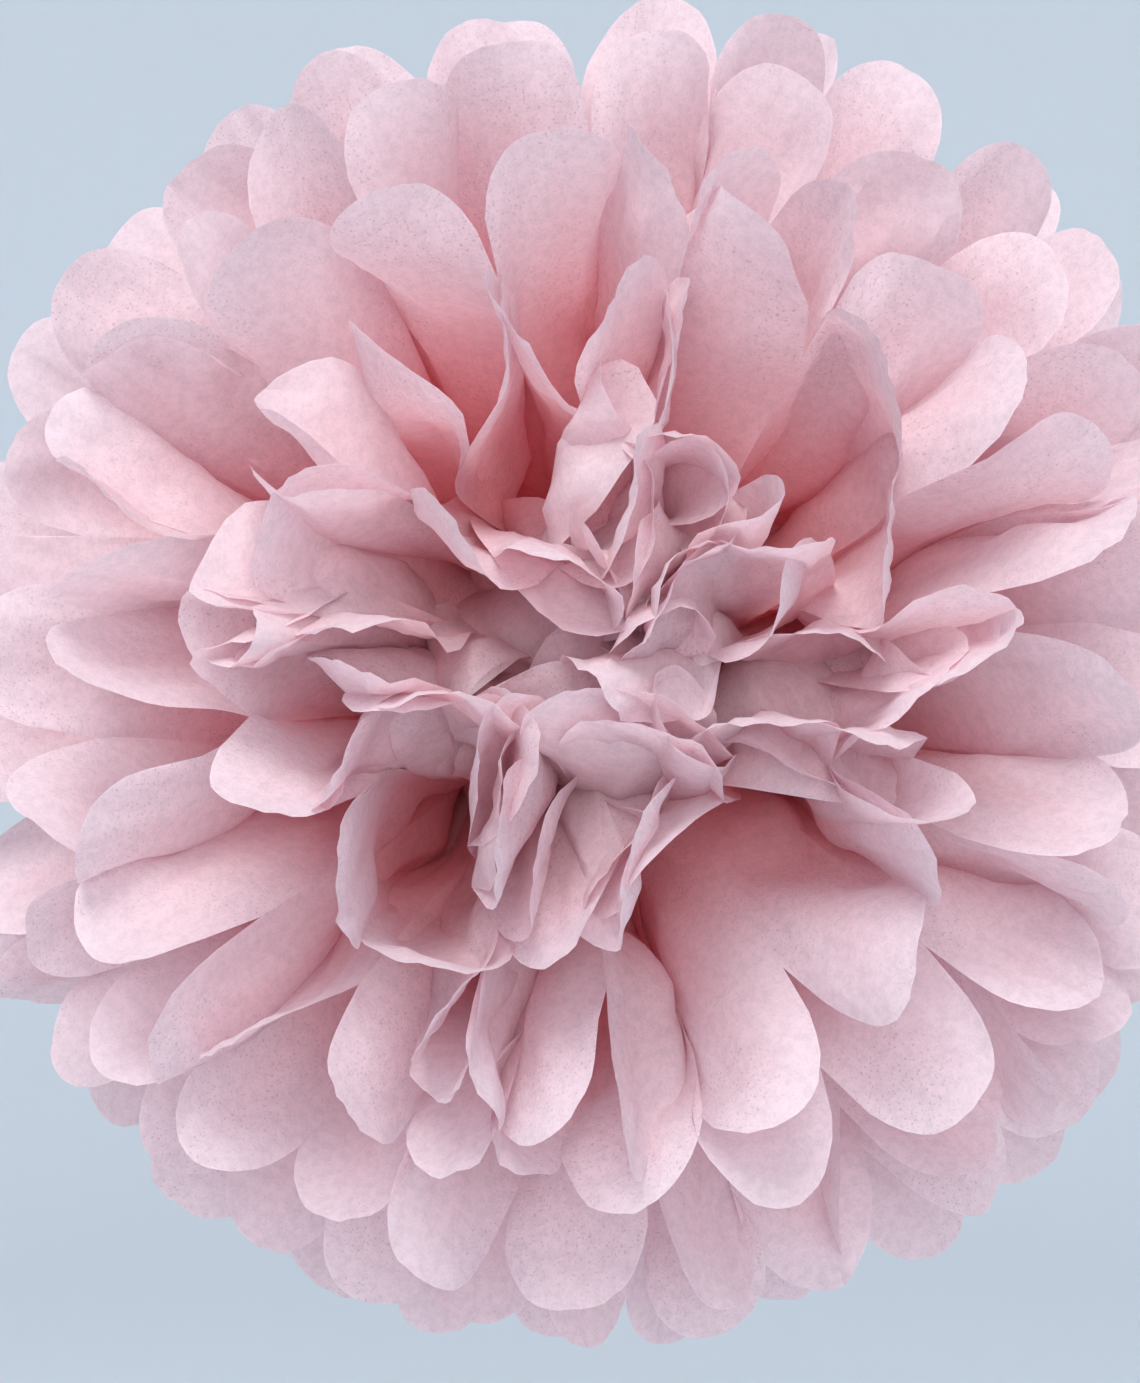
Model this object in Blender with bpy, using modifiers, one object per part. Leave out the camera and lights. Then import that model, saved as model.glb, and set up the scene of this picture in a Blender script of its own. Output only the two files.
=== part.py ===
"""A tissue paper pom pom: pleated sheets with rounded ends, tied at the middle with one wire and fluffed into a ball.

Every sheet is a rectangle that was folded like an accordion, so its panels lie side by side along X at the
waist, where the wire holds them. Its two ends open into two fans, one above the waist and one below it, and
each panel ends in a rounded petal. The ball's pole is the Y axis: the front sheets lean towards -Y and the
rear sheets towards +Y. The wire's two ends are twisted into a tail that runs back along +Y to an eye, by
which the ball hangs on a wall. The origin is the middle of the waist, Z is up, and lengths are in metres.

Run it with: blender --background --python part.py
"""

import math

import bmesh
import bpy
from mathutils import Vector

# The flat sheets
SHEET_COUNT = 14
PANEL_COUNT = 14  # panels across one sheet, each with a petal at both ends
PANEL_WIDTH = 0.050
HALF_LENGTH = 0.250  # from the waist to a petal's tip
PETAL_DEPTH = 0.045  # from the notch between two petals to their tips
PAPER = 0.00004

# The waist, where the wire crushes the pleats together
WAIST_HALF_WIDTH = 0.010  # along X, over all the panels
WAIST_HALF_DEPTH = 0.008  # along Y, of one sheet's pleats
SHEET_STEP = 0.0018  # along Y, from one sheet to the next

# The opened sheets
FAN_START = 0.013  # how far from the waist a fan starts to open, which is also its radius there
FAN_CLEARANCE = 0.003  # from the wire's plane to the lowest panel of a fan
LEAN_STEP = math.radians(180.0 / SHEET_COUNT)  # between the leans of two neighbouring sheets
BEND_LENGTH = 0.040  # over which a sheet turns from the waist to its lean
FULL_DEPTH_AT = 0.110  # where the pleats are no longer crushed
EDGE_ANGLE = math.radians(1.5)  # between a sheet's cut edge and the X axis
ROWS = (FAN_START, 0.030, 0.050, FULL_DEPTH_AT, HALF_LENGTH - PETAL_DEPTH)
PETAL_SEGMENTS = 4

# The wire
WIRE_RADIUS = 0.0005
WIRE_GAP = 0.0008  # from the wire's surface to the outermost paper
RING_CORNER = 0.002
RING_STEPS = 4  # segments to a corner of the ring
TWIST_RADIUS = 0.0008
TWIST_PITCH = 0.018
TWIST_TURNS = 10
TWIST_STEPS = 6  # segments to a turn
TWIST_START = 0.0012  # from the ring to the first point of the twist
EYE_RADIUS = 0.006
EYE_SWEEP = math.radians(300.0)
EYE_STEPS = 14
EYE_OFFSET = 0.0015  # from the twist's end to the plane of the eye

TISSUE_COLOUR = (0.90, 0.62, 0.68, 1.0)
WIRE_COLOUR = (0.42, 0.43, 0.44, 1.0)


def clear_scene():
    for obj in list(bpy.data.objects):
        bpy.data.objects.remove(obj)


def make_collection(name):
    collection = bpy.data.collections.new(name)
    bpy.context.scene.collection.children.link(collection)
    return collection


def make_material(name, colour, roughness, metallic):
    material = bpy.data.materials.new(name)
    material.use_nodes = True
    shader = material.node_tree.nodes["Principled BSDF"]
    shader.inputs["Base Color"].default_value = colour
    shader.inputs["Roughness"].default_value = roughness
    shader.inputs["Metallic"].default_value = metallic
    return material


def smooth_step(value):
    """0 to 1, level at both ends."""
    value = min(1.0, max(0.0, value))
    return value * value * (3.0 - 2.0 * value)


def place_in_stack(sheet):
    """How many sheets in front of the middle of the stack this one lies: above 0 for the front half."""
    return (SHEET_COUNT - 1) / 2 - sheet


def middle_line(sheet, distance):
    """(radius, y, lean) of the line halfway between the ridges and the valleys, from where the fan starts.

    It leaves the waist square to Y, turns along an arc and then runs straight at the sheet's own lean."""
    full_lean = place_in_stack(sheet) * LEAN_STEP
    bend_radius = BEND_LENGTH / full_lean
    run = distance - FAN_START
    lean = full_lean * min(1.0, run / BEND_LENGTH)
    straight = max(0.0, run - BEND_LENGTH)
    radius = FAN_START + bend_radius * math.sin(lean) + straight * math.cos(lean)
    rise = bend_radius * (1.0 - math.cos(lean)) + straight * math.sin(lean)
    return radius, -place_in_stack(sheet) * SHEET_STEP - rise, lean


def pleat_half_depth(radius, distance):
    """Half of a ridge's height over its valleys: what is left of a panel's width once the fan has spread it."""
    spread = radius * (math.pi - 2 * EDGE_ANGLE) / PANEL_COUNT
    uncrushed = math.sqrt(max(0.0, PANEL_WIDTH**2 - spread**2)) / 2
    share = smooth_step((distance - FAN_START) / (FULL_DEPTH_AT - FAN_START))
    crushed = WAIST_HALF_DEPTH + share * (PANEL_WIDTH / 2 - WAIST_HALF_DEPTH)
    return min(uncrushed, crushed)


def towards_front(fold):
    """Even folds are ridges, towards -Y, and odd folds are valleys."""
    return 1.0 if fold % 2 == 0 else -1.0


def waist_point(sheet, fold):
    x = WAIST_HALF_WIDTH * (1.0 - 2.0 * fold / PANEL_COUNT)
    y = -place_in_stack(sheet) * SHEET_STEP - towards_front(fold) * WAIST_HALF_DEPTH
    return Vector((x, y, 0.0))


def fold_point(sheet, side, fold, distance):
    """A point on a fold of the fan above the waist (side 1) or below it (side -1)."""
    radius, y, lean = middle_line(sheet, distance)
    depth = towards_front(fold) * pleat_half_depth(radius, distance)
    radius -= depth * math.sin(lean)
    y -= depth * math.cos(lean)
    angle = EDGE_ANGLE + (math.pi - 2 * EDGE_ANGLE) * fold / PANEL_COUNT
    return Vector((radius * math.cos(angle), y, side * (FAN_CLEARANCE + radius * math.sin(angle))))


def petal_points(sheet, side, panel):
    """The rounded end of a panel, from just past its first notch to just before its second."""
    points = []
    for step in range(1, PETAL_SEGMENTS):
        turn = math.pi * step / PETAL_SEGMENTS
        distance = HALF_LENGTH - PETAL_DEPTH + PETAL_DEPTH * math.sin(turn)
        first = fold_point(sheet, side, panel, distance)
        second = fold_point(sheet, side, panel + 1, distance)
        points.append(first.lerp(second, (1.0 - math.cos(turn)) / 2))
    return points


def add_fan(bm, sheet, side, waist):
    """Adds the panels and petals on one side of the waist."""
    lines = [waist]
    for distance in ROWS:
        points = [fold_point(sheet, side, fold, distance) for fold in range(PANEL_COUNT + 1)]
        lines.append([bm.verts.new(point) for point in points])
    for panel in range(PANEL_COUNT):
        for near, far in zip(lines, lines[1:]):
            corners = [near[panel], near[panel + 1], far[panel + 1], far[panel]]
            bm.faces.new(corners[::side])
        tip = [bm.verts.new(point) for point in petal_points(sheet, side, panel)]
        outline = [lines[-1][panel], lines[-1][panel + 1], *reversed(tip)]
        bm.faces.new(outline[::side])


def make_sheet(sheet, collection, material):
    """One sheet: the open surface in the middle of its paper, with Solidify for the paper's thickness."""
    bm = bmesh.new()
    waist = [bm.verts.new(waist_point(sheet, fold)) for fold in range(PANEL_COUNT + 1)]
    for side in (1, -1):
        add_fan(bm, sheet, side, waist)
    bmesh.ops.triangulate(bm, faces=bm.faces, quad_method="FIXED")
    name = f"sheet_{sheet + 1:02d}"
    mesh = bpy.data.meshes.new(name)
    bm.to_mesh(mesh)
    bm.free()
    mesh.materials.append(material)
    obj = bpy.data.objects.new(name, mesh)
    collection.objects.link(obj)
    paper = obj.modifiers.new("paper", "SOLIDIFY")
    paper.thickness = PAPER
    paper.offset = 0.0
    paper.solidify_mode = "NON_MANIFOLD"
    paper.nonmanifold_thickness_mode = "CONSTRAINTS"


def ring_half_size():
    """Half of the ring's width and depth, to the middle of the wire."""
    clearance = WIRE_GAP + WIRE_RADIUS
    half_stack = SHEET_STEP * (SHEET_COUNT - 1) / 2
    return WAIST_HALF_WIDTH + clearance, WAIST_HALF_DEPTH + half_stack + clearance


def ring_points():
    """The wire's turn round the waist: an oblong with round corners, from its rear round the front to its rear."""
    half_x, half_y = ring_half_size()
    points = []
    for corner, (side_x, side_y) in enumerate(((1, 1), (1, -1), (-1, -1), (-1, 1))):
        centre = Vector((side_x * (half_x - RING_CORNER), side_y * (half_y - RING_CORNER), 0.0))
        for step in range(RING_STEPS + 1):
            angle = math.pi / 2 * (1 - corner - step / RING_STEPS)
            points.append(centre + RING_CORNER * Vector((math.cos(angle), math.sin(angle), 0.0)))
    return points


def strand_points(start_y, phase):
    """One strand of the twisted tail, from the ring back to the eye."""
    points = []
    for step in range(TWIST_STEPS * TWIST_TURNS + 1):
        angle = phase + 2 * math.pi * step / TWIST_STEPS
        y = start_y + TWIST_PITCH * step / TWIST_STEPS
        points.append(Vector((TWIST_RADIUS * math.cos(angle), y, TWIST_RADIUS * math.sin(angle))))
    return points


def eye_points(y):
    """The open eye that the tail ends in: it stands on the tail's end, square to it."""
    start = -math.pi / 2 - math.asin(TWIST_RADIUS / EYE_RADIUS)
    centre_z = EYE_RADIUS + 2 * WIRE_RADIUS
    points = []
    for step in range(EYE_STEPS + 1):
        angle = start - EYE_SWEEP * step / EYE_STEPS
        points.append(Vector((EYE_RADIUS * math.cos(angle), y, centre_z + EYE_RADIUS * math.sin(angle))))
    return points


def make_wire(collection, material):
    """One length of wire: up the first strand to the waist, round it, back along the second, and into the eye."""
    start_y = ring_half_size()[1] + TWIST_START
    points = strand_points(start_y, 0.0)[::-1] + ring_points() + strand_points(start_y, math.pi)
    points += eye_points(points[-1].y + EYE_OFFSET)
    curve = bpy.data.curves.new("wire_tie", "CURVE")
    curve.dimensions = "3D"
    curve.bevel_depth = WIRE_RADIUS
    curve.bevel_resolution = 2
    curve.use_fill_caps = True
    spline = curve.splines.new("POLY")
    spline.points.add(len(points) - 1)
    for target, point in zip(spline.points, points):
        target.co = (*point, 1.0)
    curve.materials.append(material)
    collection.objects.link(bpy.data.objects.new("wire_tie", curve))


def main():
    clear_scene()
    collection = make_collection("tissue_pom_pom")
    tissue = make_material("tissue", TISSUE_COLOUR, 0.85, 0.0)
    steel = make_material("annealed_steel", WIRE_COLOUR, 0.45, 1.0)
    for sheet in range(SHEET_COUNT):
        make_sheet(sheet, collection, tissue)
    make_wire(collection, steel)


main()
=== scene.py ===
"""A fluffed tissue paper pom pom with its wire tie, in a plain pale studio."""

import math

import bpy
import numpy as np
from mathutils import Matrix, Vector
from mathutils.bvhtree import BVHTree


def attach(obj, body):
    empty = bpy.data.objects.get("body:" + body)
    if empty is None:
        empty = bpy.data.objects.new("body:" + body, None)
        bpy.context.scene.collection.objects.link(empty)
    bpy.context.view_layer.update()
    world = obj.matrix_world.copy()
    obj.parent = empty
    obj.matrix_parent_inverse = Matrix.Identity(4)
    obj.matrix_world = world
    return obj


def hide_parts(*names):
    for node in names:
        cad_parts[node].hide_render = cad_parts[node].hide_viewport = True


bl_info = {
    "name": "Tissue Pom Pom",
    "version": (1, 0, 0),
    "blender": (4, 5, 0),
    "location": "View3D > Sidebar > Pom Pom",
    "description": "Makes a fluffed tissue paper pom pom, its wire tie and a plain studio",
    "category": "Add Mesh",
}

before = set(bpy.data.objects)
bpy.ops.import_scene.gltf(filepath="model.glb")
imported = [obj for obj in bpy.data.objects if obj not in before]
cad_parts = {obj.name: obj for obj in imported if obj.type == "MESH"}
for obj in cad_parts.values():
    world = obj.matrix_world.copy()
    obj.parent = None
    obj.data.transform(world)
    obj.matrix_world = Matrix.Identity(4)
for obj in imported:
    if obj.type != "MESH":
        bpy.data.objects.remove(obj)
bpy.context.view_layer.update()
SHEET_NODES = sorted(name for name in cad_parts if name.startswith("sheet_"))

# Rows of the control net, as distances from the waist along a sheet
ROWS = np.array(
    [0.0, 0.013, 0.030, 0.050, 0.072, 0.095, 0.118, 0.140, 0.162, 0.184, 0.205, 0.220, 0.235, 0.250]
)
NOTCH_ROW = 10
HELD_ROWS = 3  # rows that the wire holds
COLUMNS = 5  # of the control net across one panel, folds included
PANELS = 14
PANEL_WIDTH = 0.050
HALF_LENGTH = 0.250
PETAL_DEPTH = 0.045
WAIST_HALF_WIDTH = 0.010
WAIST_HALF_DEPTH = 0.008
SHEET_STEP = 0.0018
FAN_START = 0.013
FAN_CLEARANCE = 0.0015
BEND_LENGTH = 0.040
LEAN_STEP = math.pi / len(SHEET_NODES)
SAMPLES = np.linspace(FAN_START, HALF_LENGTH, 80)
NOTCH_SAMPLE = 64
POLE_GAP = math.radians(9.0)
PRESSED = math.radians(3.5)
CURL = math.radians(16.0)


def smooth_step(value):
    value = np.clip(value, 0.0, 1.0)
    return value * value * (3.0 - 2.0 * value)


def width_left(distance):
    """Share of a panel's width that the wire leaves it at a distance from the waist."""
    return 0.34 + 0.66 * smooth_step((distance - FAN_START) / 0.085)


# ---- the control net ----


def control_net():
    """(index of each panel's points by row and column, flat place of each point)."""
    index = np.empty((PANELS, len(ROWS), COLUMNS), int)
    flat = []
    for row, distance in enumerate(ROWS):
        for panel in range(PANELS):
            shared = row <= NOTCH_ROW and panel > 0
            for column in range(COLUMNS):
                if shared and column == 0:
                    index[panel, row, 0] = index[panel - 1, row, COLUMNS - 1]
                    continue
                index[panel, row, column] = len(flat)
                flat.append((PANEL_WIDTH * (panel + column / (COLUMNS - 1)), distance))
    return index, np.array(flat)


def net_links(index):
    """Pairs of net points and their kinds: 0 across, 1 along, 2 diagonal, 3 bend across, 4 bend along."""
    links = {}
    rows, columns = index.shape[1:]
    steps = (((0, 1), 0), ((1, 0), 1), ((1, 1), 2), ((1, -1), 2), ((0, 2), 3), ((2, 0), 4))
    for panel in range(PANELS):
        for row in range(rows):
            for column in range(columns):
                for (down, right), kind in steps:
                    if row + down < rows and 0 <= column + right < columns:
                        pair = (index[panel, row, column], index[panel, row + down, column + right])
                        links[pair] = kind
    pairs = np.array(list(links))
    return pairs, np.array(list(links.values()))


def independent_groups(pairs, point_count):
    """The links sorted into groups in which no point is used twice."""
    taken = [set() for _ in range(point_count)]
    group_of = []
    for first, second in pairs:
        group = 0
        while group in taken[first] or group in taken[second]:
            group += 1
        taken[first].add(group)
        taken[second].add(group)
        group_of.append(group)
    group_of = np.array(group_of)
    return [np.flatnonzero(group_of == group) for group in range(group_of.max() + 1)]


# ---- where the fluffing leaves the folds ----


def opened_angles(rng, radius, looseness):
    """The azimuth of every fold at its notch, 0 to pi: some panels open flat, and others stay bunched."""
    widest = 0.985 * PANEL_WIDTH / radius
    weights = np.exp(looseness * rng.standard_normal(PANELS))
    steps = weights / weights.sum() * math.pi
    for _ in range(60):
        over = np.minimum(steps, widest)
        spare = math.pi - over.sum()
        if spare <= 1e-9 or widest * PANELS <= math.pi:
            steps = over * math.pi / over.sum()
            break
        room = np.where(over < widest, over, 0.0)
        steps = over + spare * room / room.sum()
    return np.concatenate([[0.0], np.cumsum(steps)])


def sheet_line(place, body_lean, curl, sway):
    """(radius, y, lean) at SAMPLES of a line along a sheet, which turns to its lean and curls at its tip."""
    outer = smooth_step((SAMPLES - 0.06) / 0.12)
    lean = body_lean * np.clip((SAMPLES - FAN_START) / BEND_LENGTH, 0.0, 1.0)
    lean = lean + sway * outer - math.copysign(curl, place) * smooth_step((SAMPLES - 0.10) / 0.16)
    step = np.diff(SAMPLES, prepend=FAN_START)
    radius = FAN_START + np.cumsum(np.cos(lean) * step)
    return radius, -place * SHEET_STEP - np.cumsum(np.sin(lean) * step), lean


def body_lean(place):
    """The lean at which a sheet's tips reach their own angle from the ball's pole."""
    wanted = max(POLE_GAP, math.pi / 2 - abs(place) * LEAN_STEP - PRESSED)
    low, high = 0.0, math.radians(110.0)
    for _ in range(30):
        middle = (low + high) / 2
        radius, y, _ = sheet_line(abs(place), middle, CURL, 0.0)
        if math.atan2(radius[-1], -y[-1]) > wanted:
            low = middle
        else:
            high = middle
    return math.copysign(middle, place)


def fan_points(rng, place, side, edges, wildness):
    """The fold points of one fan, rows by folds by XYZ."""
    folds = np.arange(PANELS + 1)
    full_lean = body_lean(place)
    inward = 1.0 if place > 0 else -1.0
    wave = wildness * math.radians(4.0) * np.sin(folds * rng.uniform(0.4, 0.9) + rng.uniform(0, 6.28))
    jitter = wildness * math.radians(3.0) * rng.standard_normal(PANELS + 1)
    curl = CURL + math.radians(7.0) * wildness * rng.standard_normal(PANELS + 1)
    poleness = abs(place) * LEAN_STEP / (math.pi / 2)
    kink_size = wildness * math.radians(38.0) * poleness**3 * rng.standard_normal(PANELS + 1)
    kink_size += math.radians(20.0) * smooth_step((poleness - 0.8) / 0.1)
    kink_at = rng.uniform(0.13, 0.21, PANELS + 1)
    even = folds / PANELS * (math.pi - math.radians(3.0)) + math.radians(1.5)
    notch_radius = max(0.050, sheet_line(place, full_lean, CURL, 0.0)[0][NOTCH_SAMPLE])
    opened = opened_angles(rng, notch_radius, 0.55 * wildness)
    opened = edges[0] + opened / math.pi * (math.pi - edges[0] - edges[1])
    angle_rows = even + (opened - even) * smooth_step((ROWS - 0.030) / 0.165)[:, None]
    edge_share = smooth_step((ROWS - 0.010) / 0.030)
    angle_rows[:, 0] = even[0] + (edges[0] - even[0]) * edge_share
    angle_rows[:, -1] = even[-1] + (math.pi - edges[1] - even[-1]) * edge_share
    angle_rows[:, 1] = np.maximum(angle_rows[:, 1], 0.4 * angle_rows[:, 0] + 0.6 * angle_rows[:, 2])
    angle_rows[:, -2] = np.minimum(angle_rows[:, -2], 0.4 * angle_rows[:, -1] + 0.6 * angle_rows[:, -3])
    radius_rows, y_rows, lean_rows = (np.empty((len(ROWS), PANELS + 1)) for _ in range(3))
    for fold in folds:
        radius, y, lean = sheet_line(place, full_lean, curl[fold], wave[fold] + jitter[fold])
        kink = inward * kink_size[fold] * smooth_step((SAMPLES - kink_at[fold]) / 0.025)
        step = np.diff(SAMPLES, prepend=FAN_START)
        radius = radius + np.cumsum((np.cos(lean + kink) - np.cos(lean)) * step)
        y = y - np.cumsum((np.sin(lean + kink) - np.sin(lean)) * step)
        radius_rows[:, fold] = np.interp(ROWS, SAMPLES, radius)
        y_rows[:, fold] = np.interp(ROWS, SAMPLES, y)
        lean_rows[:, fold] = np.interp(ROWS, SAMPLES, lean + kink)
    spread = 0.5 * (radius_rows[:, 1:] + radius_rows[:, :-1]) * np.diff(angle_rows, axis=1)
    width = (PANEL_WIDTH * width_left(ROWS))[:, None]
    deep = np.sqrt(np.maximum(0.0, width**2 - spread**2))
    deep = np.concatenate([deep[:, :1], 0.5 * (deep[:, 1:] + deep[:, :-1]), deep[:, -1:]], axis=1) / 2
    height = np.where(folds % 2 == 0, 1.0, -1.0) * deep
    radius_rows = np.maximum(radius_rows - height * np.sin(lean_rows), 0.004)
    y_rows = y_rows - height * np.cos(lean_rows)
    points = np.empty((len(ROWS), PANELS + 1, 3))
    points[..., 0] = radius_rows * np.cos(angle_rows)
    points[..., 1] = y_rows
    points[..., 2] = side * (FAN_CLEARANCE + radius_rows * np.sin(angle_rows))
    points[0, :, 0] = WAIST_HALF_WIDTH * (1.0 - 2.0 * folds / PANELS)
    points[0, :, 1] = -place * SHEET_STEP - np.where(folds % 2 == 0, 1.0, -1.0) * WAIST_HALF_DEPTH
    points[0, :, 2] = 0.0
    return points


def spread_over_net(fold_rows, index, point_count, bulge):
    """Net points between the folds, each panel cupped a little."""
    net = np.empty((point_count, 3))
    across = np.linspace(0.0, 1.0, COLUMNS)
    for panel in range(PANELS):
        first, second = fold_rows[:, panel], fold_rows[:, panel + 1]
        chord = second - first
        along = np.gradient(0.5 * (first + second), axis=0)
        normal = np.cross(chord, along)
        normal /= np.linalg.norm(normal, axis=1, keepdims=True) + 1e-9
        for column, t in enumerate(across):
            lift = bulge[panel] * (4 * t * (1 - t)) * smooth_step((ROWS - 0.05) / 0.15)
            net[index[panel, :, column]] = first + chord * t + normal * lift[:, None]
    return net


# ---- relaxation ----


def relax(net, flat, index, pairs, kinds, rounds, collide_every, gap):
    """Settles every fan so that no panel is stretched and neighbouring sheets stay apart."""
    groups = independent_groups(pairs, len(flat))
    span = flat[pairs[:, 1]] - flat[pairs[:, 0]]
    span[:, 0] *= width_left(flat[pairs, 1].mean(axis=1))
    rest = np.linalg.norm(span, axis=1)
    stiffness = np.array([1.0, 1.0, 0.6, 0.25, 0.25])[kinds]
    squeeze = np.array([0.35, 0.6, 0.2, 0.25, 0.25])[kinds]
    free = (flat[:, 1] > ROWS[HELD_ROWS - 1] + 1e-6).astype(float)
    weight = free[pairs]
    share = weight / np.maximum(weight.sum(axis=1, keepdims=True), 1e-9)
    faces = net_faces(index)
    for turn in range(rounds):
        for group in groups:
            first, second = pairs[group, 0], pairs[group, 1]
            away = net[:, second] - net[:, first]
            length = np.linalg.norm(away, axis=2)
            change = length - rest[group]
            strength = np.where(change > 0, stiffness[group], squeeze[group])
            bend = kinds[group] >= 3
            strength = np.where(bend & (change > 0), 0.0, strength)
            move = away * (strength * change / np.maximum(length, 1e-9))[..., None]
            net[:, first] += move * share[group, 0][None, :, None]
            net[:, second] -= move * share[group, 1][None, :, None]
        if turn % collide_every == collide_every - 1:
            part_sheets(net, faces, free, gap)
    return net


def net_faces(index):
    """Triangles of the control net that lie on paper."""
    faces = []
    for panel in range(PANELS):
        for row in range(index.shape[1] - 1):
            for column in range(COLUMNS - 1):
                a, b = index[panel, row, column], index[panel, row, column + 1]
                c, d = index[panel, row + 1, column + 1], index[panel, row + 1, column]
                if row >= NOTCH_ROW + 1 and column in (0, COLUMNS - 2):
                    continue
                faces.append((a, b, c))
                faces.append((a, c, d))
    return np.array(faces)


def part_sheets(net, faces, free, gap):
    """Pushes neighbouring sheets apart where one has come through or too near the other."""
    sheets = len(net) // 2
    count = net.shape[1]
    both = np.concatenate([faces, faces[:, ::-1] + count])
    trees = []
    for sheet in range(sheets):
        points = net[2 * sheet : 2 * sheet + 2].reshape(-1, 3)
        trees.append(BVHTree.FromPolygons(points.tolist(), both.tolist()))
    movable = np.flatnonzero(np.tile(free, 2) > 0)
    for front in range(sheets - 1):
        for mover, wall, sign in ((front, front + 1, 1.0), (front + 1, front, -1.0)):
            points = net[2 * mover : 2 * mover + 2].reshape(-1, 3)
            find = trees[wall].find_nearest
            shifts = np.zeros_like(points)
            for point in movable:
                place = points[point]
                hit, normal, _, distance = find(place, 0.014)
                if hit is None:
                    continue
                reach = (place[0] - hit.x) * normal.x + (place[1] - hit.y) * normal.y
                reach = sign * (reach + (place[2] - hit.z) * normal.z)
                if reach >= gap or abs(reach) < 0.6 * distance:
                    continue
                push = 0.5 * (gap - reach) * sign
                shifts[point] = (normal.x * push, normal.y * push, normal.z * push)
            net[2 * mover : 2 * mover + 2] += shifts.reshape(2, count, 3)


# ---- fine paper ----

NOTCH = HALF_LENGTH - PETAL_DEPTH
FINE_COLUMNS = 18
BODY_ROWS = 34
TIP_ROWS = 11
OUTLINE_STEPS = 60
# Waves across a panel, waves along it and height of each kind of crinkle
CRINKLES = ((5.0, 25.0, 0.0006), (9.0, 60.0, 0.0004), (23.0, 18.0, 0.0003), (37.0, 9.0, 0.0002))


def curves_through(values, places, at):
    """Smooth curves through values (place by curve by XYZ), each read at its own column of at."""
    slopes = np.gradient(values, places, axis=0)
    cell = np.clip(np.searchsorted(places, at, side="right") - 1, 0, len(places) - 2)
    width = (places[cell + 1] - places[cell])[..., None]
    t = (at - places[cell])[..., None] / width
    curve = np.arange(values.shape[1])
    start, end = values[cell, curve], values[cell + 1, curve]
    leave, arrive = slopes[cell, curve] * width, slopes[cell + 1, curve] * width
    along = start + t * leave + t**2 * (3 * (end - start) - 2 * leave - arrive)
    return along + t**3 * (2 * (start - end) + leave + arrive)


def petal_reach(share, shape):
    """How far past its notches a petal reaches at each share of its width."""
    depth, roundness, skew, ragged, phases = shape
    u = 2 * share - 1
    u = u + skew * (1 - u * u)
    reach = depth * np.maximum(0.0, 1 - np.abs(u) ** roundness) ** (1 / roundness)
    teeth = np.sin(41 * share + phases[0]) + np.sin(67 * share + phases[1]) + np.sin(97 * share + phases[2])
    return reach + ragged * teeth * np.minimum(1.0, 8 * (1 - u * u))


def petal_shape(rng, roughness):
    depth = PETAL_DEPTH * min(1.0, 0.95 + 0.06 * rng.standard_normal())
    ragged = 0.00012 + 0.0005 * roughness * rng.uniform(0.0, 1.0) ** 2
    return depth, rng.uniform(2.0, 2.9), rng.uniform(-0.12, 0.12), ragged, rng.uniform(0.0, 6.28, 3)


def crinkles(share, distance, rng):
    """Height of the small dents and creases that handling leaves in one panel, nothing at its folds."""
    height = np.zeros(np.broadcast(share, distance).shape)
    for across, along, size in CRINKLES:
        for _ in range(2):
            bend = rng.uniform(-1.0, 1.0) * across
            slow = along * rng.uniform(0.6, 1.4)
            wave = across * rng.uniform(0.7, 1.3) * share + slow * distance + bend * distance * 8
            height += size * np.sin(wave + rng.uniform(0.0, 6.28))
    return height * np.minimum(1.0, 6 * share * (1 - share)) * smooth_step(distance / 0.06)


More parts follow.
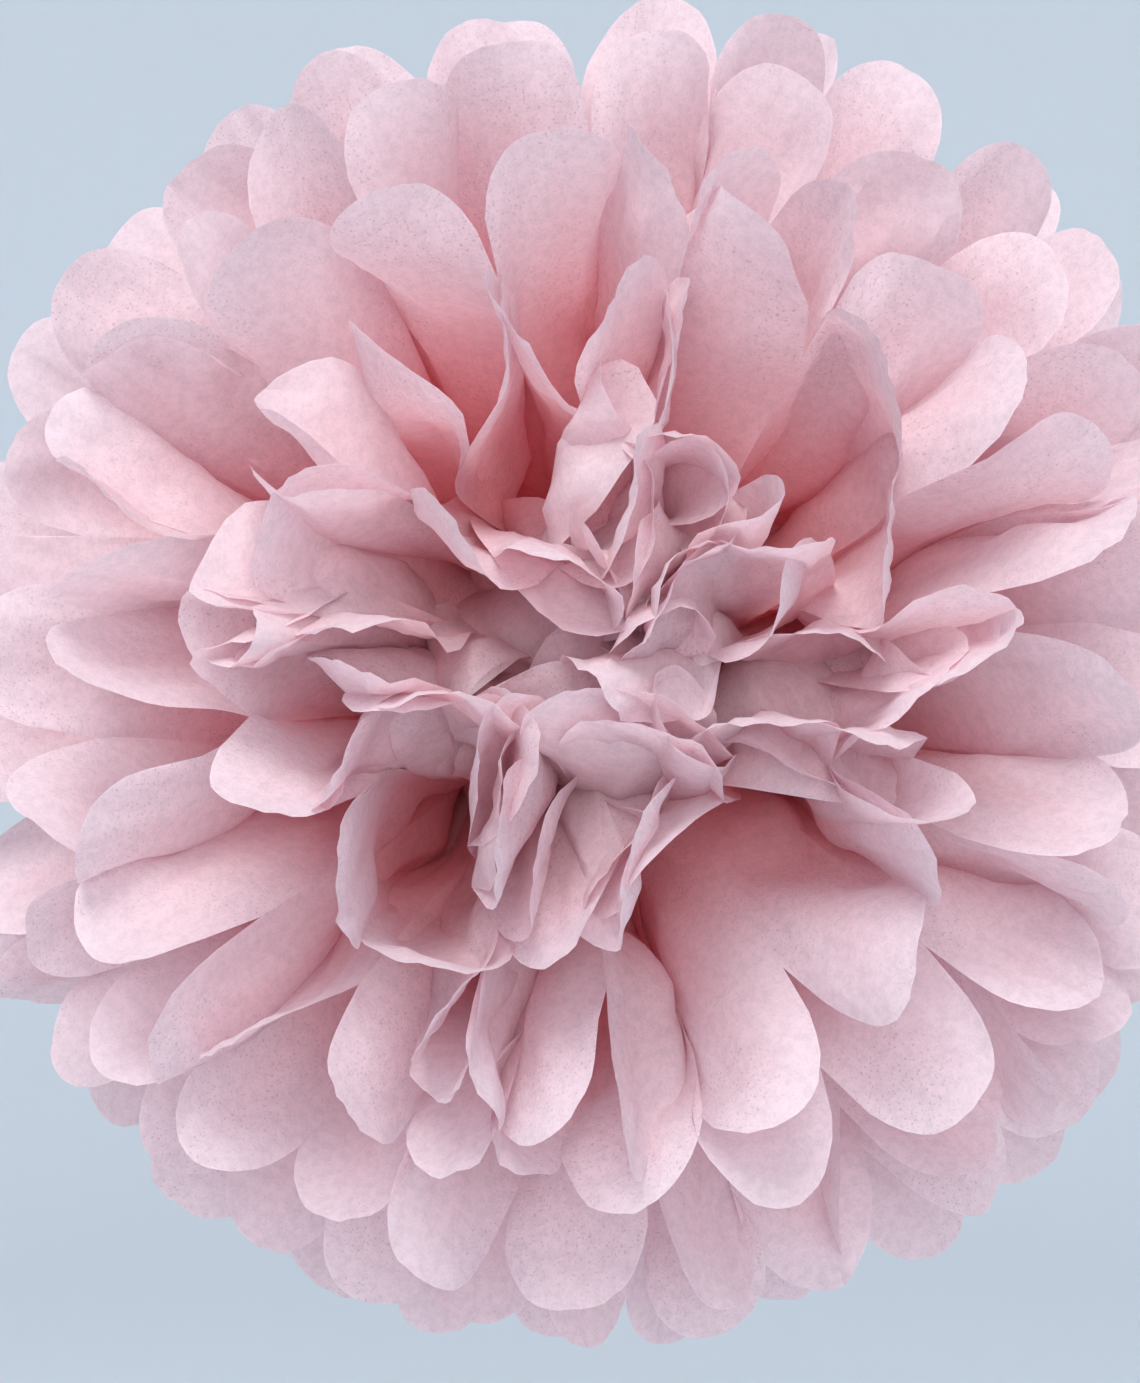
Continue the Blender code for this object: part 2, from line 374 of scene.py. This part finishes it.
def fine_fan(net, index, rng, roughness):
    """(points, faces, flat places, distances to the cut edge) of one fan, cut to rounded petals."""
    step = np.linspace(0.0, 1.0, FINE_COLUMNS + 1)
    share = 0.5 * step + 0.25 * (1 - np.cos(math.pi * step))
    body = np.linspace(0.0, NOTCH, BODY_ROWS + 1)[:, None]
    beyond = np.linspace(0.0, 1.0, TIP_ROWS + 1)[1:, None]
    outline_share = (1 - np.cos(np.linspace(0.0, math.pi, OUTLINE_STEPS))) / 2
    control_across = np.linspace(0.0, 1.0, COLUMNS)
    points, flats, rims = [], [], []
    for panel in range(PANELS):
        shape = petal_shape(rng, roughness)
        reach = petal_reach(share, shape)
        reach[[0, -1]] = 0.0
        distance = np.concatenate([body + 0 * reach, NOTCH + reach * beyond])
        control = net[index[panel]].transpose(1, 0, 2)
        read_across = np.repeat(share[:, None], len(ROWS), axis=1)
        wide = curves_through(control, control_across, read_across).transpose(1, 0, 2)
        place = curves_through(wide, ROWS, distance)
        along = np.gradient(place, axis=0)
        normal = np.cross(np.gradient(place, axis=1), along)
        normal /= np.linalg.norm(normal, axis=2, keepdims=True) + 1e-12
        tip = np.clip((distance - NOTCH + 0.02) / (PETAL_DEPTH + 0.02), 0.0, 1.0) ** 2
        height = crinkles(share, distance, rng)
        height += rng.normal(0.0, 0.0035) * tip * np.minimum(1.0, 6 * share * (1 - share))
        place = place + normal * height[..., None]
        x = PANEL_WIDTH * (panel + share) + 0 * distance
        outline_x = PANEL_WIDTH * (panel + outline_share)
        outline = np.stack([outline_x, NOTCH + petal_reach(outline_share, shape)], axis=1)
        flat = np.stack([x, distance], axis=-1)
        gap = np.linalg.norm(flat[..., None, :] - outline, axis=-1).min(axis=-1)
        points.append(place)
        flats.append(flat)
        rims.append(np.minimum(gap, np.minimum(x, PANELS * PANEL_WIDTH - x)))
    rows = BODY_ROWS + TIP_ROWS + 1
    own = np.arange(PANELS * rows * len(share)).reshape(PANELS, rows, len(share))
    own[:, BODY_ROWS + 1 :, 0] = own[:, BODY_ROWS, 0, None]
    own[:, BODY_ROWS + 1 :, -1] = own[:, BODY_ROWS, -1, None]
    own[1:, :, 0] = own[:-1, :, -1]
    corners = [own[:, :-1, :-1], own[:, :-1, 1:], own[:, 1:, 1:], own[:, 1:, :-1]]
    quads = np.stack(corners, axis=-1).reshape(-1, 4)
    used, quads = np.unique(quads, return_inverse=True)
    points = np.array(points).reshape(-1, 3)[used]
    return points, quads.reshape(-1, 4), np.array(flats).reshape(-1, 2)[used], np.array(rims).ravel()[used]


def sheet_mesh(name, fans, index, rng, roughness):
    """One sheet's mesh from the control nets of its two fans."""
    points, faces, flats, rims = [], [], [], []
    base = 0
    for side, net in zip((1, -1), fans):
        part, quads, flat, rim = fine_fan(net, index, rng, roughness)
        points.append(part)
        faces += [list(dict.fromkeys(quad)) for quad in (base + quads[:, ::side]).tolist()]
        flats.append(flat * (1.0, side))
        rims.append(rim)
        base += len(part)
    mesh = bpy.data.meshes.new(name)
    mesh.from_pydata(np.concatenate(points).tolist(), [], faces)
    corners = np.empty(len(mesh.loops), np.int32)
    mesh.loops.foreach_get("vertex_index", corners)
    layer = mesh.uv_layers.new(name="flat")
    places = np.concatenate(flats)[corners] + (0.0, HALF_LENGTH)
    layer.data.foreach_set("uv", places.astype(np.float32).ravel())
    rim = mesh.attributes.new("rim", "FLOAT", "POINT")
    rim.data.foreach_set("value", np.concatenate(rims).astype(np.float32))
    mesh.shade_smooth()
    mesh.set_sharp_from_angle(angle=math.radians(40.0))
    return mesh


# ---- materials ----


def new_group(name, inputs, outputs):
    group = bpy.data.node_groups.new(name, "ShaderNodeTree")
    for label, kind, default in inputs:
        socket = group.interface.new_socket(label, in_out="INPUT", socket_type=kind)
        if default is not None:
            socket.default_value = default
    for label, kind in outputs:
        group.interface.new_socket(label, in_out="OUTPUT", socket_type=kind)
    return group, group.nodes.new("NodeGroupInput"), group.nodes.new("NodeGroupOutput")


def add_node(tree, kind, **settings):
    node = tree.nodes.new(kind)
    for key, value in settings.items():
        setattr(node, key, value)
    return node


def fibre_group():
    """Cloudy pulp, fine grain and dark specks over the paper, from its flat coordinates in metres."""
    group, given, result = new_group(
        "Tissue fibre",
        [("Flat", "NodeSocketVector", None)],
        [("Cloud", "NodeSocketFloat"), ("Specks", "NodeSocketFloat"), ("Height", "NodeSocketFloat")],
    )
    link = group.links.new
    cloud = add_node(group, "ShaderNodeTexNoise", noise_dimensions="2D")
    cloud.inputs["Scale"].default_value = 260.0
    cloud.inputs["Detail"].default_value = 5.0
    cloud.inputs["Roughness"].default_value = 0.72
    grain = add_node(group, "ShaderNodeTexNoise", noise_dimensions="2D")
    grain.inputs["Scale"].default_value = 1100.0
    grain.inputs["Detail"].default_value = 2.0
    speck = add_node(group, "ShaderNodeTexNoise", noise_dimensions="2D")
    speck.inputs["Scale"].default_value = 900.0
    speck.inputs["Detail"].default_value = 1.0
    patch = add_node(group, "ShaderNodeTexNoise", noise_dimensions="2D")
    patch.inputs["Scale"].default_value = 22.0
    for texture in (cloud, grain, speck, patch):
        link(given.outputs["Flat"], texture.inputs["Vector"])
    both = add_node(group, "ShaderNodeMath", operation="MULTIPLY_ADD")
    link(grain.outputs["Fac"], both.inputs[0])
    both.inputs[1].default_value = 0.45
    link(cloud.outputs["Fac"], both.inputs[2])
    clear = add_node(group, "ShaderNodeMapRange")
    clear.inputs["From Min"].default_value = 0.45
    clear.inputs["From Max"].default_value = 1.0
    link(both.outputs[0], clear.inputs["Value"])
    fine = add_node(group, "ShaderNodeMapRange")
    fine.inputs["From Min"].default_value = 0.66
    fine.inputs["From Max"].default_value = 0.72
    link(speck.outputs["Fac"], fine.inputs["Value"])
    where = add_node(group, "ShaderNodeMapRange")
    where.inputs["From Min"].default_value = 0.45
    where.inputs["From Max"].default_value = 0.65
    link(patch.outputs["Fac"], where.inputs["Value"])
    specks = add_node(group, "ShaderNodeMath", operation="MULTIPLY")
    link(fine.outputs[0], specks.inputs[0])
    link(where.outputs[0], specks.inputs[1])
    link(clear.outputs[0], result.inputs["Cloud"])
    link(specks.outputs[0], result.inputs["Specks"])
    link(both.outputs[0], result.inputs["Height"])
    return group


def tissue_material(paper):
    material = bpy.data.materials.new("tissue")
    material.use_nodes = True
    tree = material.node_tree
    tree.nodes.clear()
    link = tree.links.new
    flat = add_node(tree, "ShaderNodeUVMap", uv_map="flat")
    fibre = add_node(tree, "ShaderNodeGroup", node_tree=fibre_group())
    link(flat.outputs["UV"], fibre.inputs["Flat"])
    # Painted light: the colour goes from the pale grey tip colour at the cut edge to the pink petal colour
    # 75 mm in. This paints sky light on the petal ends and pink bounce light further in.
    rim = add_node(tree, "ShaderNodeAttribute", attribute_name="rim")
    inner = add_node(tree, "ShaderNodeMapRange", interpolation_type="SMOOTHSTEP")
    inner.inputs["From Min"].default_value = 0.0
    inner.inputs["From Max"].default_value = 0.075
    link(rim.outputs["Fac"], inner.inputs["Value"])
    petal = add_node(tree, "ShaderNodeMix", data_type="RGBA")
    petal.inputs["A"].default_value = (*paper.painted_tip_light_colour, 1.0)
    petal.inputs["B"].default_value = (*paper.colour, 1.0)
    link(inner.outputs[0], petal.inputs["Factor"])
    # Painted shade and bounce light: towards the middle of the ball the colour turns to a deep, darker pink,
    # set by distance from the centre.
    place = add_node(tree, "ShaderNodeTexCoord")
    length = add_node(tree, "ShaderNodeVectorMath", operation="LENGTH")
    link(place.outputs["Object"], length.inputs[0])
    depth = add_node(tree, "ShaderNodeMapRange", interpolation_type="SMOOTHSTEP")
    depth.inputs["From Min"].default_value = 0.03
    depth.inputs["From Max"].default_value = 0.20
    link(length.outputs["Value"], depth.inputs["Value"])
    recess_shade_mix = add_node(tree, "ShaderNodeMix", data_type="RGBA")
    recess_shade_mix.inputs["A"].default_value = (*paper.painted_recess_shade_colour, 1.0)
    link(petal.outputs["Result"], recess_shade_mix.inputs["B"])
    link(depth.outputs[0], recess_shade_mix.inputs["Factor"])
    cloudy = add_node(tree, "ShaderNodeMix", data_type="RGBA", blend_type="MULTIPLY")
    link(recess_shade_mix.outputs["Result"], cloudy.inputs["A"])
    tone = add_node(tree, "ShaderNodeMapRange")
    tone.inputs["From Min"].default_value = 0.15
    tone.inputs["From Max"].default_value = 0.75
    tone.inputs["To Min"].default_value = 0.90
    tone.inputs["To Max"].default_value = 1.03
    link(fibre.outputs["Cloud"], tone.inputs["Value"])
    link(tone.outputs[0], cloudy.inputs["B"])
    cloudy.inputs["Factor"].default_value = 1.0
    specked = add_node(tree, "ShaderNodeMix", data_type="RGBA")
    link(cloudy.outputs["Result"], specked.inputs["A"])
    specked.inputs["B"].default_value = (0.42, 0.22, 0.27, 1.0)
    amount = add_node(tree, "ShaderNodeMath", operation="MULTIPLY")
    link(fibre.outputs["Specks"], amount.inputs[0])
    amount.inputs[1].default_value = 0.35
    link(amount.outputs[0], specked.inputs["Factor"])
    # Painted highlight: within the last 0.8 mm of the cut edge the colour is paled by up to half towards
    # near-white. This stands in for light that catches and comes through the thin edge.
    near = add_node(tree, "ShaderNodeMapRange")
    near.inputs["From Min"].default_value = 0.0002
    near.inputs["From Max"].default_value = 0.0008
    near.inputs["To Min"].default_value = 0.5
    near.inputs["To Max"].default_value = 0.0
    link(rim.outputs["Fac"], near.inputs["Value"])
    edge_highlighted = add_node(tree, "ShaderNodeMix", data_type="RGBA")
    link(near.outputs[0], edge_highlighted.inputs["Factor"])
    link(specked.outputs["Result"], edge_highlighted.inputs["A"])
    edge_highlighted.inputs["B"].default_value = (0.97, 0.90, 0.93, 1.0)
    bump = add_node(tree, "ShaderNodeBump")
    bump.inputs["Distance"].default_value = 0.00015
    bump.inputs["Strength"].default_value = 0.6
    link(fibre.outputs["Height"], bump.inputs["Height"])
    shader = add_node(tree, "ShaderNodeBsdfPrincipled")
    shader.inputs["Roughness"].default_value = 0.55
    shader.inputs["Specular IOR Level"].default_value = 0.4
    shader.inputs["Sheen Weight"].default_value = 0.1
    link(edge_highlighted.outputs["Result"], shader.inputs["Base Color"])
    link(bump.outputs["Normal"], shader.inputs["Normal"])
    glow = add_node(tree, "ShaderNodeBsdfTranslucent")
    tint = add_node(tree, "ShaderNodeMix", data_type="RGBA", blend_type="MULTIPLY")
    tint.inputs["Factor"].default_value = 1.0
    link(specked.outputs["Result"], tint.inputs["A"])
    tint.inputs["B"].default_value = (*paper.glow_colour, 1.0)
    link(tint.outputs["Result"], glow.inputs["Color"])
    link(bump.outputs["Normal"], glow.inputs["Normal"])
    mixed = add_node(tree, "ShaderNodeMixShader")
    mixed.inputs["Fac"].default_value = paper.glow
    link(shader.outputs[0], mixed.inputs[1])
    link(glow.outputs[0], mixed.inputs[2])
    output = add_node(tree, "ShaderNodeOutputMaterial")
    link(mixed.outputs[0], output.inputs["Surface"])
    return material


def wire_material():
    material = bpy.data.materials.new("annealed_wire")
    material.use_nodes = True
    tree = material.node_tree
    shader = tree.nodes["Principled BSDF"]
    shader.inputs["Metallic"].default_value = 1.0
    noise = add_node(tree, "ShaderNodeTexNoise")
    noise.inputs["Scale"].default_value = 900.0
    place = add_node(tree, "ShaderNodeTexCoord")
    tree.links.new(place.outputs["Object"], noise.inputs["Vector"])
    ramp = add_node(tree, "ShaderNodeMix", data_type="RGBA")
    ramp.inputs["A"].default_value = (0.20, 0.21, 0.22, 1.0)
    ramp.inputs["B"].default_value = (0.52, 0.53, 0.54, 1.0)
    tree.links.new(noise.outputs["Fac"], ramp.inputs["Factor"])
    tree.links.new(ramp.outputs["Result"], shader.inputs["Base Color"])
    rough = add_node(tree, "ShaderNodeMapRange")
    rough.inputs["To Min"].default_value = 0.32
    rough.inputs["To Max"].default_value = 0.6
    tree.links.new(noise.outputs["Fac"], rough.inputs["Value"])
    tree.links.new(rough.outputs[0], shader.inputs["Roughness"])
    return material


# ---- settings ----


class PomPomPaper(bpy.types.PropertyGroup):
    # Painted light: the petal ends are paler and greyer than the paper, for the sky light that falls on
    # them. The petal colour below is the paper's dye with pink bounce light painted in.
    painted_tip_light_colour: bpy.props.FloatVectorProperty(
        name="Petal tips",
        description="Colour of the paper at the petals' cut ends",
        subtype="COLOR",
        default=(0.90, 0.76, 0.80),
    )
    colour: bpy.props.FloatVectorProperty(
        name="Petals",
        description="Colour of the paper where the petals begin",
        subtype="COLOR",
        default=(0.96, 0.64, 0.67),
    )
    # Painted shade and bounce light: this deeper, darker pink near the waist stands in for the shade and
    # pink bounce light inside the ball. It is not the paper's dye.
    painted_recess_shade_colour: bpy.props.FloatVectorProperty(
        name="Waist",
        description="Colour of the crushed paper near the waist",
        subtype="COLOR",
        default=(0.96, 0.36, 0.40),
    )
    glow_colour: bpy.props.FloatVectorProperty(
        name="Glow",
        description="Tint of the light that comes through the paper",
        subtype="COLOR",
        default=(1.0, 0.86, 0.87),
    )
    glow: bpy.props.FloatProperty(
        name="Glow share",
        description="Share of the light that goes through the paper",
        subtype="FACTOR",
        default=0.42,
    )
    rounds: bpy.props.IntProperty(name="Rounds", description="Rounds of settling", default=300, min=0)
    gap: bpy.props.FloatProperty(
        name="Gap",
        description="Least space kept between neighbouring sheets",
        subtype="DISTANCE",
        default=0.0008,
    )


class PomPomStudio(bpy.types.PropertyGroup):
    radius: bpy.props.FloatProperty(
        name="Radius", description="Radius of the studio", subtype="DISTANCE", default=3.2
    )
    floor: bpy.props.FloatProperty(
        name="Floor", description="Height of the floor", subtype="DISTANCE", default=-0.75
    )


class PomPomSettings(bpy.types.PropertyGroup):
    paper: bpy.props.PointerProperty(type=PomPomPaper)
    studio: bpy.props.PointerProperty(type=PomPomStudio)


# ---- operators ----


class POMPOM_OT_make_sheets(bpy.types.Operator):
    """Make the fluffed tissue sheets"""

    bl_idname = "pompom.make_sheets"
    bl_label = "Tissue sheets"

    def execute(self, context):
        paper = context.scene.pompom.paper
        index, flat = control_net()
        pairs, kinds = net_links(index)
        nets = []
        middle = (len(SHEET_NODES) - 1) / 2
        for sheet in range(len(SHEET_NODES)):
            rng = np.random.default_rng(100 + sheet)
            place = middle - sheet
            turn = 1 if sheet % 2 else -1
            edges = (turn * rng.uniform(0.08, 0.28), -turn * rng.uniform(0.08, 0.28))
            wildness = 1.0 + 0.8 * max(0.0, abs(place) - 3.5) / 2
            for side in (1, -1):
                own = (side * edges[0] + 0.02, side * edges[1] + 0.02)
                folds = fan_points(rng, place, side, own, wildness)
                bulge = rng.normal(0.0, 0.004, PANELS)
                nets.append(spread_over_net(folds, index, len(flat), bulge))
        nets = relax(np.array(nets), flat, index, pairs, kinds, paper.rounds, 10, paper.gap)
        material = tissue_material(paper)
        for sheet, node in enumerate(SHEET_NODES):
            rng = np.random.default_rng(500 + sheet)
            poleness = abs(middle - sheet) / middle
            mesh = sheet_mesh(f"tissue_{node}", nets[2 * sheet : 2 * sheet + 2], index, rng, poleness**3)
            mesh.materials.append(material)
            piece = bpy.data.objects.new(f"tissue_{node}", mesh)
            context.scene.collection.objects.link(piece)
            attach(piece, "root")
            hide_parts(node)
        return {"FINISHED"}


class POMPOM_OT_finish_wire(bpy.types.Operator):
    """Finish the wire tie with its metal"""

    bl_idname = "pompom.finish_wire"
    bl_label = "Wire tie"

    def execute(self, context):
        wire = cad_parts["wire_tie"]
        material = wire_material()
        for slot in wire.material_slots:
            slot.material = material
        return {"FINISHED"}


class POMPOM_OT_make_studio(bpy.types.Operator):
    """Make the plain floor, the soft lights and the camera"""

    bl_idname = "pompom.make_studio"
    bl_label = "Studio"

    def execute(self, context):
        scene = context.scene
        studio = scene.pompom.studio
        bowl_round = 1.2
        profile = [(0.0, studio.floor)]
        for step in range(13):
            angle = math.pi / 2 * step / 12
            radius = studio.radius - bowl_round * (1 - math.sin(angle))
            profile.append((radius, studio.floor + bowl_round * (1 - math.cos(angle))))
        profile.append((studio.radius, 3.0))
        turns = 96
        points, faces = [], []
        for radius, z in profile:
            for turn in range(turns):
                angle = 2 * math.pi * turn / turns
                points.append((radius * math.cos(angle), radius * math.sin(angle), z))
        for low in range(0, turns * (len(profile) - 1), turns):
            high = low + turns
            for turn in range(turns):
                after = (turn + 1) % turns
                faces.append((low + turn, low + after, high + after, high + turn))
        mesh = bpy.data.meshes.new("studio_floor")
        mesh.from_pydata(points, [], faces)
        mesh.shade_smooth()
        material = bpy.data.materials.new("studio_paint")
        material.use_nodes = True
        shader = material.node_tree.nodes["Principled BSDF"]
        shader.inputs["Base Color"].default_value = (0.74, 0.78, 0.82, 1.0)
        shader.inputs["Roughness"].default_value = 0.9
        mesh.materials.append(material)
        floor = bpy.data.objects.new("studio_floor", mesh)
        scene.collection.objects.link(floor)
        world = bpy.data.worlds.new("studio_air")
        world.use_nodes = True
        world.node_tree.nodes["Background"].inputs["Color"].default_value = (0.86, 0.92, 1.0, 1.0)
        world.node_tree.nodes["Background"].inputs["Strength"].default_value = 0.62
        scene.world = world
        for name, place, size, energy in (
            ("key_light", (-0.3, -1.7, 2.0), 1.4, 52.0),
            ("fill_light", (0.2, -2.2, 0.35), 1.0, 14.0),
        ):
            light = bpy.data.lights.new(name, "AREA")
            light.energy = energy
            light.size = size
            lamp = bpy.data.objects.new(name, light)
            lamp.location = place
            lamp.rotation_euler = (-Vector(place)).to_track_quat("-Z", "Y").to_euler()
            lamp.visible_camera = False
            scene.collection.objects.link(lamp)
        camera = bpy.data.cameras.new("camera")
        camera.lens = 55.4
        eye = bpy.data.objects.new("camera", camera)
        eye.location = (-0.0094, -0.8, -0.0062)
        eye.rotation_euler = (math.pi / 2, 0.0, 0.0)
        scene.collection.objects.link(eye)
        scene.camera = eye
        scene.view_settings.view_transform = "Standard"
        scene.cycles.diffuse_bounces = 10
        scene.cycles.use_light_tree = False
        scene.cycles.adaptive_threshold = 0.1
        return {"FINISHED"}


class POMPOM_PT_panel(bpy.types.Panel):
    """Lists the steps"""

    bl_idname = "POMPOM_PT_panel"
    bl_label = "Tissue Pom Pom"
    bl_space_type = "VIEW_3D"
    bl_region_type = "UI"
    bl_category = "Pom Pom"

    def draw(self, context):
        settings = context.scene.pompom
        for operator in OPERATORS:
            self.layout.operator(operator.bl_idname)
        for group in (settings.paper, settings.studio):
            for name in group.bl_rna.properties.keys():
                if name not in {"rna_type", "name"}:
                    self.layout.prop(group, name)


OPERATORS = (POMPOM_OT_make_sheets, POMPOM_OT_finish_wire, POMPOM_OT_make_studio)
CLASSES = (PomPomPaper, PomPomStudio, PomPomSettings, *OPERATORS, POMPOM_PT_panel)


def register():
    for item in CLASSES:
        bpy.utils.register_class(item)
    bpy.types.Scene.pompom = bpy.props.PointerProperty(type=PomPomSettings)


def unregister():
    del bpy.types.Scene.pompom
    for item in reversed(CLASSES):
        bpy.utils.unregister_class(item)


def main():
    register()
    bpy.ops.pompom.make_sheets()
    bpy.ops.pompom.finish_wire()
    bpy.ops.pompom.make_studio()


if __name__ == "__main__":
    main()
